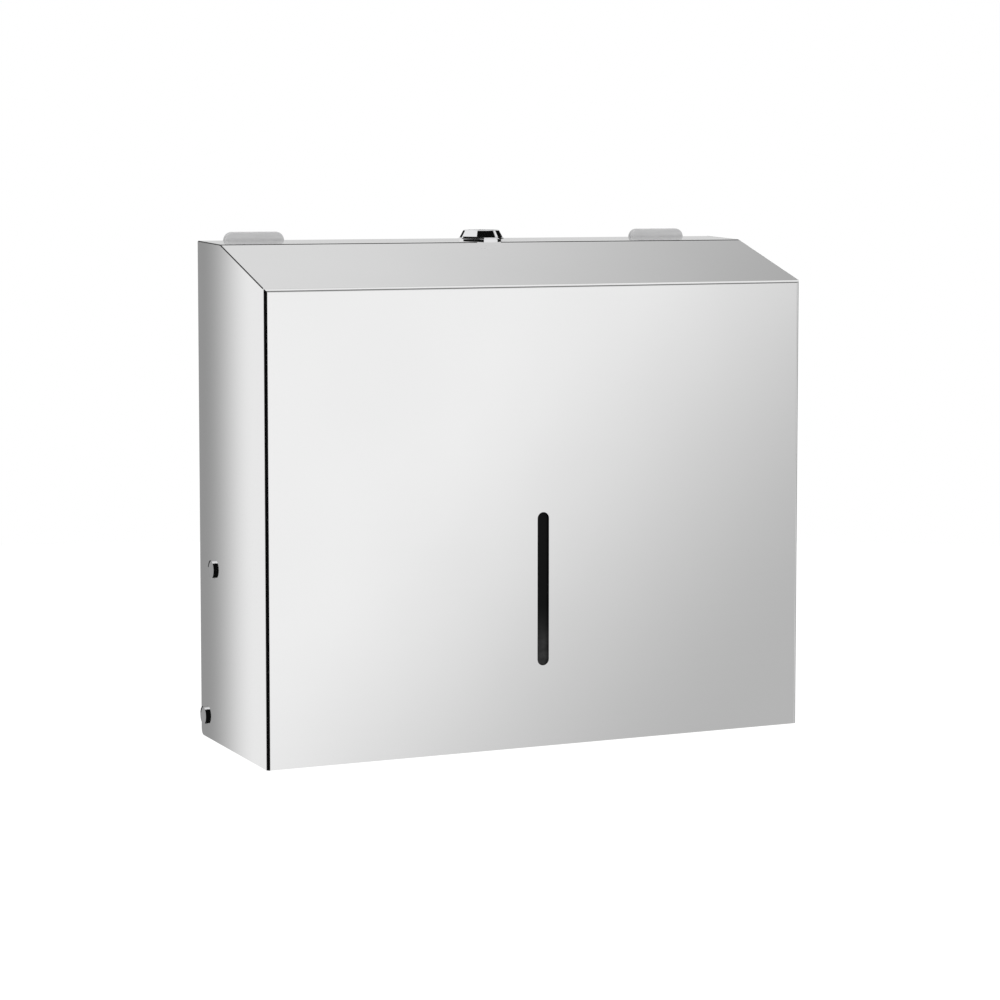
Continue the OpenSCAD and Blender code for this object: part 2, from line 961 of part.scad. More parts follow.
module lock_body() {
    bore = plug_d + 2 * pin_fit;
    face = plug_face_d + 2 * pin_fit;
    color(chrome)
        at_lock(0)
            difference() {
                union() {
                    translate([0, 0, bezel_z])
                        rotate_extrude()
                            polygon([
                                [0, 0],
                                [bezel_d / 2 - 0.2, 0],
                                [bezel_d / 2, 0.2],
                                [bezel_d / 2, bezel_foot - 0.3],
                                [bezel_d / 2 - 0.5, bezel_foot],
                                [bezel_top_d / 2 + 0.3, bezel_h - 0.3],
                                [bezel_top_d / 2 - 0.2, bezel_h],
                                [0, bezel_h]
                            ]);
                    translate([0, 0, barrel_z])
                        linear_extrude(barrel_l + lock_washer_t + 0.5)
                            barrel_shape(0);
                }
                translate([0, 0, barrel_z - 1])
                    cylinder(h = bezel_z + bezel_h - barrel_z + 2, d = bore);
                translate([0, 0, face_z - plug_face_t - run_gap])
                    cylinder(h = bezel_h + 1, d = face);
            }
}

module lock_nut() {
    color(chrome)
        at_lock(top_z - sheet_t - lock_nut_t)
            difference() {
                rotate(30)
                    cylinder(h = lock_nut_t, d = lock_nut_af / cos(30), $fn = 6);
                translate([0, 0, -1])
                    cylinder(h = lock_nut_t + 2, d = barrel_d + 2 * pin_fit);
            }
}

module lock_plug() {
    color(chrome)
        at_lock(0)
            difference() {
                union() {
                    translate([0, 0, face_z - plug_face_t])
                        cylinder(h = plug_face_t, d = plug_face_d);
                    translate([0, 0, barrel_z - run_gap])
                        cylinder(h = face_z - barrel_z + run_gap - plug_face_t / 2, d = plug_d);
                    translate([-drive_w / 2, -drive_w / 2, cam_z + lay_gap])
                        cube([drive_w, drive_w, barrel_z - cam_z]);
                }
                translate([-key_w / 2, -key_l / 2, face_z - key_depth])
                    cube([key_w, key_l, key_depth + 1]);
                translate([0, 0, cam_z - 1])
                    cylinder(h = cam_screw_l + 2, d = thread_d + 2 * pin_fit);
            }
}

// At rest the cam points to the wall, which is unlocked
module lock_cam() {
    hole = drive_w + 2 * pin_fit;
    end_r = cam_w / 2 - 0.5;
    color(frame_steel)
        at_lock(cam_z)
            linear_extrude(cam_t)
                difference() {
                    polygon(rounded(
                        [
                            [-cam_w / 2, -cam_w / 2],
                            [cam_w / 2, -cam_w / 2],
                            [cam_w / 2, cam_reach],
                            [-cam_w / 2, cam_reach]
                        ],
                        [end_r, end_r, 2, 2]
                    ));
                    square([hole, hole], center = true);
                }
}

module cam_washer() {
    color(chrome)
        at_lock(cam_z - cam_washer_t)
            difference() {
                cylinder(h = cam_washer_t, d = cam_washer_d);
                translate([0, 0, -1])
                    cylinder(h = cam_washer_t + 2, d = thread_d + 2 * pin_fit);
            }
}

module cam_screw() {
    color(chrome)
        at_lock(cam_z - cam_washer_t)
            difference() {
                union() {
                    translate([0, 0, -cam_screw_h])
                        cylinder(h = cam_screw_h, d = cam_screw_d);
                    translate([0, 0, -cam_screw_h / 2])
                        cylinder(h = cam_screw_h / 2 + cam_washer_t + cam_screw_l, d = thread_d);
                }
                translate([-0.6, -cam_screw_d, -cam_screw_h - 1])
                    cube([1.2, 2 * cam_screw_d, 2]);
            }
}

// What is drawn

back_plate();
pad_left();
pad_right();
cheek_left();
cheek_right();
cheek_rivets();
towel_tray();
throat_collar();
tray_end_left();
tray_end_right();
tray_rivets();
lock_keeper();
keeper_rivets();
cover_shell();
seam_bracket_left();
seam_bracket_right();
window_lens();
window_gasket();
lock_body();
lock_washer();
lock_nut();
hinge_pin_left();
hinge_pin_right();
hinge_washers();
hinge_nuts();
stop_pin_left();
stop_pin_right();
stop_bushes();
stop_washers();
stop_nuts();
lock_plug();
lock_cam();
cam_washer();
cam_screw();
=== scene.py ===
"""Wall-mounted paper towel dispenser in polished stainless steel, as photographed in a white studio."""
import json
import math

import bpy
import bmesh
from mathutils import Matrix, Vector


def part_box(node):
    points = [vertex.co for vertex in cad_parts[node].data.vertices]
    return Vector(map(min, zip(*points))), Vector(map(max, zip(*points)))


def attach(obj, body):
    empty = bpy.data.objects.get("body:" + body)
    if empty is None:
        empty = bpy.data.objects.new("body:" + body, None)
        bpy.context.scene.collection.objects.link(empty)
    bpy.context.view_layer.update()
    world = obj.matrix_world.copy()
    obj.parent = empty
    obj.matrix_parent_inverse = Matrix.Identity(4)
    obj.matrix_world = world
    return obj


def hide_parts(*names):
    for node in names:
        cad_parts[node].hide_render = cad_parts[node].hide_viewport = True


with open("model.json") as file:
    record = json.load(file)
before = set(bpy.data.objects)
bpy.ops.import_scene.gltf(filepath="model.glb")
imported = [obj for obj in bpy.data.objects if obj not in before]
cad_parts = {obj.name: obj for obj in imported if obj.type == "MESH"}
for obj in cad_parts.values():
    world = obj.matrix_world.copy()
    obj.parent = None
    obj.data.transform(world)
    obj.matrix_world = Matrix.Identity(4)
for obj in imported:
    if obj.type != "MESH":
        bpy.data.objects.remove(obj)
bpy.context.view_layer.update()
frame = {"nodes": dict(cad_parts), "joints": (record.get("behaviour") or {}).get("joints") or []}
nodes = frame["nodes"]
joints = {joint["name"]: joint for joint in frame["joints"]}

MM = 0.001
AHEAD = Vector((0, -1, 0))
RIGHT = Vector((1, 0, 0))
UP = Vector((0, 0, 1))


# Places that the pieces and the studio are measured from

def node_box(node):
    """The lowest and the highest corner of a CAD node at rest."""
    low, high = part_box(node)
    return Vector(low), Vector(high)


COVER_LOW, COVER_HIGH = node_box("cover_shell")
SIDE_X = COVER_HIGH.x
FRONT_Y = COVER_LOW.y

# The narrow top rises a little to the rear, and the shoulder slopes from it to the front
TOP_DEPTH = 33 * MM
TOP_RISE = 1.2 * MM
SLOPE_DROP = 18.8 * MM
BEND_Y = COVER_HIGH.y - TOP_DEPTH
BEND_Z = COVER_HIGH.z - TOP_RISE
SLOPE_Z = BEND_Z - SLOPE_DROP

# Outside radius of the upright folds beside the front
FOLD_RADIUS = 1.8 * MM

# On the lock's axis, level with the bend
LOCK_SEAT = Vector(joints["lock_turn"]["pos_m"])


# Colours and nodes

def srgb(hex_colour):
    """An sRGB hex colour as linear RGBA."""
    values = [int(hex_colour[i:i + 2], 16) / 255 for i in (1, 3, 5)]
    linear = [v / 12.92 if v <= 0.04045 else ((v + 0.055) / 1.055) ** 2.4 for v in values]
    return (*linear, 1.0)


def add(tree, kind, settings=None, inputs=None):
    """Adds a node to a tree, sets its properties, and sets or links its inputs."""
    made = tree.nodes.new(kind)
    for name, value in (settings or {}).items():
        setattr(made, name, value)
    for name, value in (inputs or {}).items():
        if isinstance(value, bpy.types.NodeSocket):
            tree.links.new(value, made.inputs[name])
        else:
            made.inputs[name].default_value = value
    return made


def bare_material(name):
    """A material whose node tree is empty, and that tree."""
    mat = bpy.data.materials.new(name)
    mat.use_nodes = True
    mat.node_tree.nodes.clear()
    return mat, mat.node_tree


def end_surface(tree, inputs):
    """Ends a material's tree with a Principled shader that has these inputs."""
    shader = add(tree, "ShaderNodeBsdfPrincipled", None, inputs)
    add(tree, "ShaderNodeOutputMaterial", None, {"Surface": shader.outputs["BSDF"]})


def dress(material, *names):
    """Puts one material on CAD nodes."""
    for name in names:
        slots = nodes[name].data.materials
        slots.clear()
        slots.append(material)


# Settings that several node trees share
COLOUR = {"data_type": "RGBA"}
NUMBER = {"data_type": "FLOAT"}
PRODUCT = {"operation": "MULTIPLY"}
SCALED_SUM = {"operation": "MULTIPLY_ADD"}
LARGER = {"operation": "MAXIMUM"}
SOFT = {"interpolation_type": "SMOOTHSTEP"}
WHITE = (1.0, 1.0, 1.0, 1.0)


# Materials

def polished_stainless():
    """Austenitic stainless sheet, ground and buffed bright: a near mirror with faint lines of the buff."""
    mat, tree = bare_material("polished_stainless_sheet")
    where = add(tree, "ShaderNodeTexCoord")
    # Buffing lines run across the sheet, drawn at 0.8 mm so that they show at all
    across = add(tree, "ShaderNodeMapping", None, {
        "Vector": where.outputs["Object"],
        "Scale": (1 / (60 * MM), 1 / (8 * MM), 1 / (0.8 * MM)),
    })
    lines = add(tree, "ShaderNodeTexNoise", None, {
        "Vector": across.outputs["Vector"], "Scale": 1.0, "Detail": 3.0, "Roughness": 0.6,
    })
    # Wiping leaves patches about 60 mm wide that are a little less bright
    wiped = add(tree, "ShaderNodeTexNoise", None, {
        "Vector": where.outputs["Object"], "Scale": 1 / (60 * MM), "Detail": 2.0, "Roughness": 0.5,
    })
    line_rough = add(tree, "ShaderNodeMapRange", None, {
        "Value": lines.outputs["Fac"], "From Min": 0.3, "From Max": 0.7, "To Min": 0.035, "To Max": 0.06,
    })
    patch_rough = add(tree, "ShaderNodeMapRange", None, {
        "Value": wiped.outputs["Fac"], "From Min": 0.3, "From Max": 0.7, "To Min": 0.0, "To Max": 0.02,
    })
    rough = add(tree, "ShaderNodeMath", {"operation": "ADD"}, {
        0: line_rough.outputs["Result"], 1: patch_rough.outputs["Result"],
    })
    tint = add(tree, "ShaderNodeMix", COLOUR, {
        "Factor": wiped.outputs["Fac"], "A": srgb("#F0F0F0"), "B": srgb("#ECECEC"),
    })
    bump = add(tree, "ShaderNodeBump", None, {
        "Height": lines.outputs["Fac"], "Strength": 0.02, "Distance": 0.02 * MM,
    })
    end_surface(tree, {
        "Metallic": 1.0, "Base Color": tint.outputs["Result"],
        "Roughness": rough.outputs["Value"], "Normal": bump.outputs["Normal"],
    })
    return mat


def mill_stainless():
    """Cold-rolled stainless sheet in its mill finish: grey, soft reflections, fine grain up and down."""
    mat, tree = bare_material("mill_finish_stainless")
    where = add(tree, "ShaderNodeTexCoord")
    # Rolling grain 25 mm long, drawn at 0.7 mm wide so that it shows
    rolled = add(tree, "ShaderNodeMapping", None, {
        "Vector": where.outputs["Object"],
        "Scale": (1 / (0.7 * MM), 1 / (0.7 * MM), 1 / (25 * MM)),
    })
    grain = add(tree, "ShaderNodeTexNoise", None, {
        "Vector": rolled.outputs["Vector"], "Scale": 1.0, "Detail": 4.0, "Roughness": 0.65,
    })
    # Pickling leaves clouds about 35 mm wide
    cloud = add(tree, "ShaderNodeTexNoise", None, {
        "Vector": where.outputs["Object"], "Scale": 1 / (35 * MM), "Detail": 3.0, "Roughness": 0.55,
    })
    tint = add(tree, "ShaderNodeMix", COLOUR, {
        "Factor": cloud.outputs["Fac"], "A": srgb("#D3D3D3"), "B": srgb("#C6C6C6"),
    })
    rough = add(tree, "ShaderNodeMapRange", None, {
        "Value": grain.outputs["Fac"], "From Min": 0.3, "From Max": 0.7, "To Min": 0.30, "To Max": 0.44,
    })
    bump = add(tree, "ShaderNodeBump", None, {
        "Height": grain.outputs["Fac"], "Strength": 0.15, "Distance": 0.03 * MM,
    })
    end_surface(tree, {
        "Metallic": 1.0, "Base Color": tint.outputs["Result"],
        "Roughness": rough.outputs["Result"], "Normal": bump.outputs["Normal"],
    })
    return mat


def bright_plating():
    """Nickel and chrome plating on turned steel and zinc: a clear mirror with a few dull spots."""
    mat, tree = bare_material("bright_chrome_plating")
    where = add(tree, "ShaderNodeTexCoord")
    # Pores and dull spots about 1.5 mm apart
    pores = add(tree, "ShaderNodeTexNoise", None, {
        "Vector": where.outputs["Object"], "Scale": 1 / (1.5 * MM), "Detail": 4.0, "Roughness": 0.7,
    })
    rough = add(tree, "ShaderNodeMapRange", None, {
        "Value": pores.outputs["Fac"], "From Min": 0.4, "From Max": 0.8, "To Min": 0.03, "To Max": 0.10,
    })
    bump = add(tree, "ShaderNodeBump", None, {
        "Height": pores.outputs["Fac"], "Strength": 0.05, "Distance": 0.02 * MM,
    })
    end_surface(tree, {
        "Metallic": 1.0, "Base Color": srgb("#EAEAEB"),
        "Roughness": rough.outputs["Result"], "Normal": bump.outputs["Normal"],
    })
    return mat


def natural_nylon():
    """Moulded nylon in its own off-white: waxy, with a slight mottle from the mould."""
    mat, tree = bare_material("natural_nylon")
    where = add(tree, "ShaderNodeTexCoord")
    # Mottle about 2 mm wide
    mottle = add(tree, "ShaderNodeTexNoise", None, {
        "Vector": where.outputs["Object"], "Scale": 1 / (2 * MM), "Detail": 3.0, "Roughness": 0.5,
    })
    tint = add(tree, "ShaderNodeMix", COLOUR, {
        "Factor": mottle.outputs["Fac"], "A": srgb("#EBE8DE"), "B": srgb("#DDD9CC"),
    })
    bump = add(tree, "ShaderNodeBump", None, {
        "Height": mottle.outputs["Fac"], "Strength": 0.1, "Distance": 0.05 * MM,
    })
    end_surface(tree, {
        "Base Color": tint.outputs["Result"], "Roughness": 0.42, "IOR": 1.53,
        "Normal": bump.outputs["Normal"],
    })
    return mat


def black_rubber():
    """Black EPDM sheet, cut: matt, with the grain of the filler."""
    mat, tree = bare_material("black_epdm_rubber")
    where = add(tree, "ShaderNodeTexCoord")
    # Grain drawn at 0.6 mm so that it shows
    grain = add(tree, "ShaderNodeTexNoise", None, {
        "Vector": where.outputs["Object"], "Scale": 1 / (0.6 * MM), "Detail": 3.0, "Roughness": 0.6,
    })
    tint = add(tree, "ShaderNodeMix", COLOUR, {
        "Factor": grain.outputs["Fac"], "A": srgb("#0E0E0F"), "B": srgb("#1B1B1C"),
    })
    bump = add(tree, "ShaderNodeBump", None, {
        "Height": grain.outputs["Fac"], "Strength": 0.3, "Distance": 0.05 * MM,
    })
    end_surface(tree, {
        "Base Color": tint.outputs["Result"], "Roughness": 0.75, "Normal": bump.outputs["Normal"],
    })
    return mat


def smoked_acrylic():
    """Black smoked acrylic strip: nearly black, a weak soft gloss, and a painted reflection as lighter grey
    flecks towards its lower end.
    """
    mat, tree = bare_material("smoked_acrylic")
    where = add(tree, "ShaderNodeTexCoord")
    # Drawing lines 1.2 mm apart and 40 mm long
    drawn = add(tree, "ShaderNodeMapping", None, {
        "Vector": where.outputs["Object"],
        "Scale": (1 / (1.2 * MM), 1 / (1.2 * MM), 1 / (40 * MM)),
    })
    lines = add(tree, "ShaderNodeTexNoise", None, {
        "Vector": drawn.outputs["Vector"], "Scale": 1.0, "Detail": 2.0, "Roughness": 0.5,
    })
    tint = add(tree, "ShaderNodeMix", COLOUR, {
        "Factor": lines.outputs["Fac"], "A": srgb("#060606"), "B": srgb("#0C0C0D"),
    })
    # Painted reflection in flecks about 3 mm wide, strongest at the lower end and gone 32 mm above it
    sheen_low, sheen_high = -82 * MM, -50 * MM
    split = add(tree, "ShaderNodeSeparateXYZ", None, {"Vector": where.outputs["Object"]})
    lower_sheen = add(tree, "ShaderNodeMapRange", SOFT, {
        "Value": split.outputs["Z"], "From Min": sheen_low, "From Max": sheen_high,
        "To Min": 1.0, "To Max": 0.0,
    })
    painted_sheen_flecks = add(tree, "ShaderNodeTexNoise", None, {
        "Vector": where.outputs["Object"], "Scale": 1 / (3 * MM), "Detail": 4.0, "Roughness": 0.6,
    })
    cloud = add(tree, "ShaderNodeMath", PRODUCT, {0: lower_sheen.outputs["Result"], 1: painted_sheen_flecks.outputs["Fac"]})
    # Painted reflection: the flecks mix the lens colour towards a lighter grey
    with_painted_sheen = add(tree, "ShaderNodeMix", COLOUR, {
        "Factor": cloud.outputs["Value"], "A": tint.outputs["Result"], "B": srgb("#4A4A4A"),
    })
    rough = add(tree, "ShaderNodeMapRange", None, {
        "Value": lines.outputs["Fac"], "From Min": 0.3, "From Max": 0.7, "To Min": 0.16, "To Max": 0.26,
    })
    end_surface(tree, {
        "Base Color": with_painted_sheen.outputs["Result"], "Roughness": rough.outputs["Result"], "IOR": 1.49,
        "Specular IOR Level": 0.08,
    })
    return mat


def grey_plastic():
    """Moulded polypropylene in mid grey: soft sheen, faint flow marks along the pad."""
    mat, tree = bare_material("grey_polypropylene")
    where = add(tree, "ShaderNodeTexCoord")
    # Flow marks 9 mm long and 1.5 mm high
    flow = add(tree, "ShaderNodeMapping", None, {
        "Vector": where.outputs["Object"],
        "Scale": (1 / (9 * MM), 1 / (4 * MM), 1 / (1.5 * MM)),
    })
    marks = add(tree, "ShaderNodeTexNoise", None, {
        "Vector": flow.outputs["Vector"], "Scale": 1.0, "Detail": 3.0, "Roughness": 0.55,
    })
    tint = add(tree, "ShaderNodeMix", COLOUR, {
        "Factor": marks.outputs["Fac"], "A": srgb("#C4C4C4"), "B": srgb("#B2B2B3"),
    })
    bump = add(tree, "ShaderNodeBump", None, {
        "Height": marks.outputs["Fac"], "Strength": 0.12, "Distance": 0.05 * MM,
    })
    end_surface(tree, {
        "Base Color": tint.outputs["Result"], "Roughness": 0.5, "IOR": 1.49,
        "Normal": bump.outputs["Normal"],
    })
    return mat


POLISHED = polished_stainless()
MILL = mill_stainless()
PLATED = bright_plating()
NYLON = natural_nylon()
RUBBER = black_rubber()
SMOKED = smoked_acrylic()
GREY = grey_plastic()

dress(POLISHED, "cover_shell")
dress(MILL, "back_plate", "cheek_left", "cheek_right", "towel_tray", "lock_keeper")
dress(MILL, "throat_collar", "tray_end_left", "tray_end_right")
dress(MILL, "seam_bracket_left", "seam_bracket_right", "lock_cam")
dress(PLATED, "cheek_rivets", "tray_rivets", "keeper_rivets")
dress(PLATED, "lock_body", "lock_washer", "lock_nut", "lock_plug")
dress(PLATED, "hinge_pin_left", "hinge_pin_right", "hinge_nuts", "stop_pin_left", "stop_pin_right")
dress(PLATED, "stop_washers", "stop_nuts", "cam_washer", "cam_screw")
dress(NYLON, "hinge_washers", "stop_bushes")
dress(RUBBER, "window_gasket")
dress(SMOKED, "window_lens")


# Pieces that the solids leave to the looks

def mesh_object(name, bm):
    """A new mesh object in the scene from a bmesh."""
    mesh = bpy.data.meshes.new(name)
    bm.to_mesh(mesh)
    bm.free()
    made = bpy.data.objects.new(name, mesh)
    bpy.context.scene.collection.objects.link(made)
    return made


def piece(name, bm, material, body):
    """A finished piece that rides on a body and takes the material given."""
    made = mesh_object(name, bm)
    made.data.materials.append(material)
    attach(made, body)
    return made


def strip_along(bm, start, end, out, width, deep):
    """A strip from start to end, its outer face towards out."""
    along = (end - start).normalized()
    across = along.cross(out).normalized()
    outward = across.cross(along)
    made = bmesh.ops.create_cube(bm, size=1)
    bmesh.ops.scale(bm, vec=(width, (end - start).length, deep), verts=made["verts"])
    turned = Matrix((across, along, outward)).transposed()
    bmesh.ops.rotate(bm, cent=(0, 0, 0), matrix=turned, verts=made["verts"])
    bmesh.ops.translate(bm, verts=made["verts"], vec=(start + end) / 2)


def seam_runs(side):
    """Start, end, direction and upward normal of the two seams beside the shoulder and the top."""
    edge = side * SIDE_X
    corners = [
        Vector((edge, FRONT_Y, SLOPE_Z)),
        Vector((edge, BEND_Y, BEND_Z)),
        Vector((edge, COVER_HIGH.y, COVER_HIGH.z)),
    ]
    runs = []
    for start, end in zip(corners, corners[1:]):
        along = (end - start).normalized()
        runs.append((start, end, along, RIGHT.cross(along).normalized()))
    return runs


def seam_shade_strips(side, name):
    """A black strip sunk in the open seam beside the shoulder and the top: painted shade that stands in for
    the seam's shadow.
    """
    bm = bmesh.new()
    width, depth, sunk = 0.6 * MM, 0.8 * MM, 0.24 * MM
    # How far each of the two strips stops short of its corners, or runs past one where it is below 0
    trims = ((2.0 * MM, -0.1 * MM), (0.1 * MM, 0.2 * MM))
    for (start, end, along, upward), (before, after) in zip(seam_runs(side), trims):
        out = (Vector((side, 0, 0)) + upward).normalized()
        drop = out * (sunk + depth / 2)
        strip_along(bm, start + along * before - drop, end - along * after - drop, out, width, depth)
    # Painted shade: black rubber in the seam in place of the shadow inside it
    piece(name, bm, RUBBER, "cover")


def weld_spot(bm, place, out):
    """One spot weld: a low round print with a sunk middle."""
    radius, top_radius, height = 2.1 * MM, 1.68 * MM, 0.14 * MM
    rim, slope, sunk = 0.45 * MM, 0.3 * MM, 0.09 * MM
    # A tenth of the height stands in the sheet
    centre = place + out * height * 0.4
    turned = out.to_track_quat("Z", "Y").to_matrix().to_4x4()
    made = bmesh.ops.create_cone(
        bm, cap_ends=True, segments=20, radius1=radius, radius2=top_radius, depth=height,
        matrix=Matrix.Translation(centre) @ turned)
    faces = {face for vert in made["verts"] for face in vert.link_faces}
    crown = max(faces, key=lambda face: face.calc_center_median().dot(out))
    bmesh.ops.inset_individual(bm, faces=[crown], thickness=rim, depth=0)
    bmesh.ops.inset_individual(bm, faces=[crown], thickness=slope, depth=-sunk)


def bracket_welds(side, name):
    """The spot welds that hold the bracket behind a seam to the side and to the shoulder."""
    bm = bmesh.new()
    # Both sheets together, the welds' distance in from the seam, and their places along it
    through, leg = 2 * MM, 7 * MM
    places = (14 * MM, 29 * MM, 44 * MM)
    start, _, along, upward = seam_runs(side)[0]
    inward = Vector((-side, 0, 0))
    for step in places:
        corner = start + along * step
        weld_spot(bm, corner + inward * through - upward * leg, inward)
        weld_spot(bm, corner + inward * leg - upward * through, -upward)
    piece(name, bm, MILL, "cover")


def wall_pad(name, node):
    """A moulded pad in place of its solid, with rounded corners and softened edges."""
    top_radius, foot_radius, soft_edge = 4.2 * MM, 2.0 * MM, 0.5 * MM
    low, high = node_box(node)
    middle = (low + high) / 2
    half_depth = middle.y - low.y
    bm = bmesh.new()
    block = bmesh.ops.create_cube(bm, size=1)
    bmesh.ops.scale(bm, vec=high - low, verts=block["verts"])
    bmesh.ops.translate(bm, verts=block["verts"], vec=middle)
    for upper, radius in ((True, top_radius), (False, foot_radius)):
        corners = [
            edge for edge in bm.edges
            if abs(edge.verts[0].co.y - edge.verts[1].co.y) > half_depth
            and all((vert.co.z > middle.z) == upper for vert in edge.verts)
        ]
        bmesh.ops.bevel(
            bm, geom=corners, offset=radius, affect="EDGES", segments=10, profile=0.5, material=-1)
    rim = [edge for edge in bm.edges if all(vert.co.y < middle.y for vert in edge.verts)]
    soft = bmesh.ops.bevel(
        bm, geom=rim, offset=soft_edge, affect="EDGES", segments=4, profile=0.5, material=-1)
    for face in soft["faces"]:
        face.smooth = True
    pad = piece(name, bm, GREY, "frame")
    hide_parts(node)


def barrel_thread(name):
    """The thread on the two round sides of the lock barrel, below its nut."""
    bm = bmesh.new()
    pitch, root, crest, half_foot = 1.0 * MM, 7.9 * MM, 8.3 * MM, 0.42 * MM
    plain_end, nut_gap, weld = 0.8 * MM, 0.6 * MM, 0.001 * MM
    sweep = math.radians(118)
    low = node_box("lock_body")[0].z + plain_end
    high = node_box("lock_nut")[0].z - nut_gap
    for step in range(int((high - low) / pitch)):
        z = low + (step + 0.5) * pitch
        corners = ((root, z - half_foot), (crest, z), (root, z + half_foot))
        for facing in (-1, 1):
            ridge = [bm.verts.new((0, facing * radius, height)) for radius, height in corners]
            bmesh.ops.rotate(bm, cent=(0, 0, 0), matrix=Matrix.Rotation(-sweep / 2, 3, "Z"), verts=ridge)
            section = bm.faces.new(ridge)
            bmesh.ops.spin(bm, geom=[section], cent=(0, 0, 0), axis=UP, angle=sweep, steps=14)
    bmesh.ops.remove_doubles(bm, verts=bm.verts, dist=weld)
    bmesh.ops.recalc_face_normals(bm, faces=bm.faces)
    bmesh.ops.translate(bm, verts=bm.verts, vec=(0, LOCK_SEAT.y, 0))
    piece(name, bm, PLATED, "cover")


seam_shade_strips(-1, "seam_shade_left")
seam_shade_strips(1, "seam_shade_right")
bracket_welds(-1, "bracket_welds_left")
bracket_welds(1, "bracket_welds_right")
wall_pad("wall_pad_left", "pad_left")
wall_pad("wall_pad_right", "pad_right")
barrel_thread("lock_thread")


# Studio

# Patches of the studio: start, end and softness, in degrees of turn and then of height
REAR_RIGHT = ((135, 172, 8), (-60, 90, 10))
REAR_WALL = ((135, 172, 8), (24, 50, 6))
FRONT_PANEL = ((8, 58, 6), (-24, 1, 3))
PANEL_GAP = ((5, 75, 8), (8, 48, 4))

# Degrees of turn by which the panel's fading edge leans for each degree of height
PANEL_LEAN = 0.772

# Light levels, where 1 is white
WALL_LEVEL = 0.95
REAR_LOSS = 0.26
GAP_LEVEL = 0.2
GAP_STRENGTH = 0.96
MATT_LEVEL = 0.7
FLOOR_GLOW = 0.5


def studio_directions(tree):
    """Turn from straight ahead, right positive, and height above the horizon, both in degrees."""
    where = add(tree, "ShaderNodeTexCoord")
    split = add(tree, "ShaderNodeSeparateXYZ", None, {"Vector": where.outputs["Generated"]})
    ahead = add(tree, "ShaderNodeMath", PRODUCT, {0: split.outputs["Y"], 1: -1.0})
    turn = add(tree, "ShaderNodeMath", {"operation": "ARCTAN2"}, {
        0: split.outputs["X"], 1: ahead.outputs["Value"],
    })
    height = add(tree, "ShaderNodeMath", {"operation": "ARCSINE"}, {0: split.outputs["Z"]})
    degrees = []
    for angle in (turn, height):
        made = add(tree, "ShaderNodeMath", {"operation": "DEGREES"}, {0: angle.outputs["Value"]})
        degrees.append(made.outputs["Value"])
    return degrees


def studio_zone(tree, turn, height, zone):
    """1 within a patch of the studio and 0 outside, with soft edges."""
    insides = []
    for value, (start, end, soft) in zip((turn, height), zone):
        rise = add(tree, "ShaderNodeMapRange", SOFT, {
            "Value": value, "From Min": start - soft, "From Max": start + soft,
        })
        fall = add(tree, "ShaderNodeMapRange", SOFT, {
            "Value": value, "From Min": end - soft, "From Max": end + soft, "To Min": 1.0, "To Max": 0.0,
        })
        inside = add(tree, "ShaderNodeMath", PRODUCT, {
            0: rise.outputs["Result"], 1: fall.outputs["Result"],
        })
        insides.append(inside.outputs["Value"])
    return add(tree, "ShaderNodeMath", PRODUCT, {0: insides[0], 1: insides[1]}).outputs["Value"]


def mirrored_studio(tree):
    """The light that bright metal mirrors from each direction."""
    turn, height = studio_directions(tree)

    # The floor is dimmer than the walls, brightest at the front right and grey from there to the wall
    front_right = add(tree, "ShaderNodeMapRange", SOFT, {
        "Value": turn, "From Min": -25, "From Max": 25, "To Min": 0.62, "To Max": 0.97,
    })
    far_right = add(tree, "ShaderNodeMapRange", SOFT, {
        "Value": turn, "From Min": 64, "From Max": 80, "To Min": 0.0, "To Max": 0.5,
    })
    floor = add(tree, "ShaderNodeMath", {"operation": "SUBTRACT"}, {
        0: front_right.outputs["Result"], 1: far_right.outputs["Result"],
    })

    # The walls are even, apart from a dimmer stretch behind on the right
    walls = add(tree, "ShaderNodeMath", SCALED_SUM, {
        0: studio_zone(tree, turn, height, REAR_RIGHT), 1: -REAR_LOSS, 2: WALL_LEVEL,
    })
    upward = add(tree, "ShaderNodeMapRange", SOFT, {"Value": height, "From Min": -14, "From Max": 8})
    room = add(tree, "ShaderNodeMix", NUMBER, {
        "Factor": upward.outputs["Result"], "A": floor.outputs["Value"], "B": walls.outputs["Value"],
    })

    # The large soft panel at the front right, which fades on a slant to its lower right
    slant = add(tree, "ShaderNodeMath", SCALED_SUM, {0: height, 1: -PANEL_LEAN, 2: turn})
    panel = add(tree, "ShaderNodeMapRange", SOFT, {
        "Value": slant.outputs["Value"], "From Min": 26.4, "From Max": 37.6, "To Min": 1.0, "To Max": 0.535,
    })
    with_panel = add(tree, "ShaderNodeMix", NUMBER, {
        "Factor": studio_zone(tree, turn, height, FRONT_PANEL),
        "A": room.outputs["Result"], "B": panel.outputs["Result"],
    })

    # The dark gap over that panel
    gap = add(tree, "ShaderNodeMath", PRODUCT, {
        0: studio_zone(tree, turn, height, PANEL_GAP), 1: GAP_STRENGTH,
    })
    with_gap = add(tree, "ShaderNodeMix", NUMBER, {
        "Factor": gap.outputs["Value"], "A": with_panel.outputs["Result"], "B": GAP_LEVEL,
    })

    # The wall behind on the right, lit less towards the corner of the room
    corner = add(tree, "ShaderNodeMapRange", SOFT, {
        "Value": turn, "From Min": 156.5, "From Max": 138, "To Min": 0.78, "To Max": 0.345,
    })
    light = add(tree, "ShaderNodeMix", NUMBER, {
        "Factor": studio_zone(tree, turn, height, REAR_WALL),
        "A": with_gap.outputs["Result"], "B": corner.outputs["Result"],
    })
    return light.outputs["Result"]


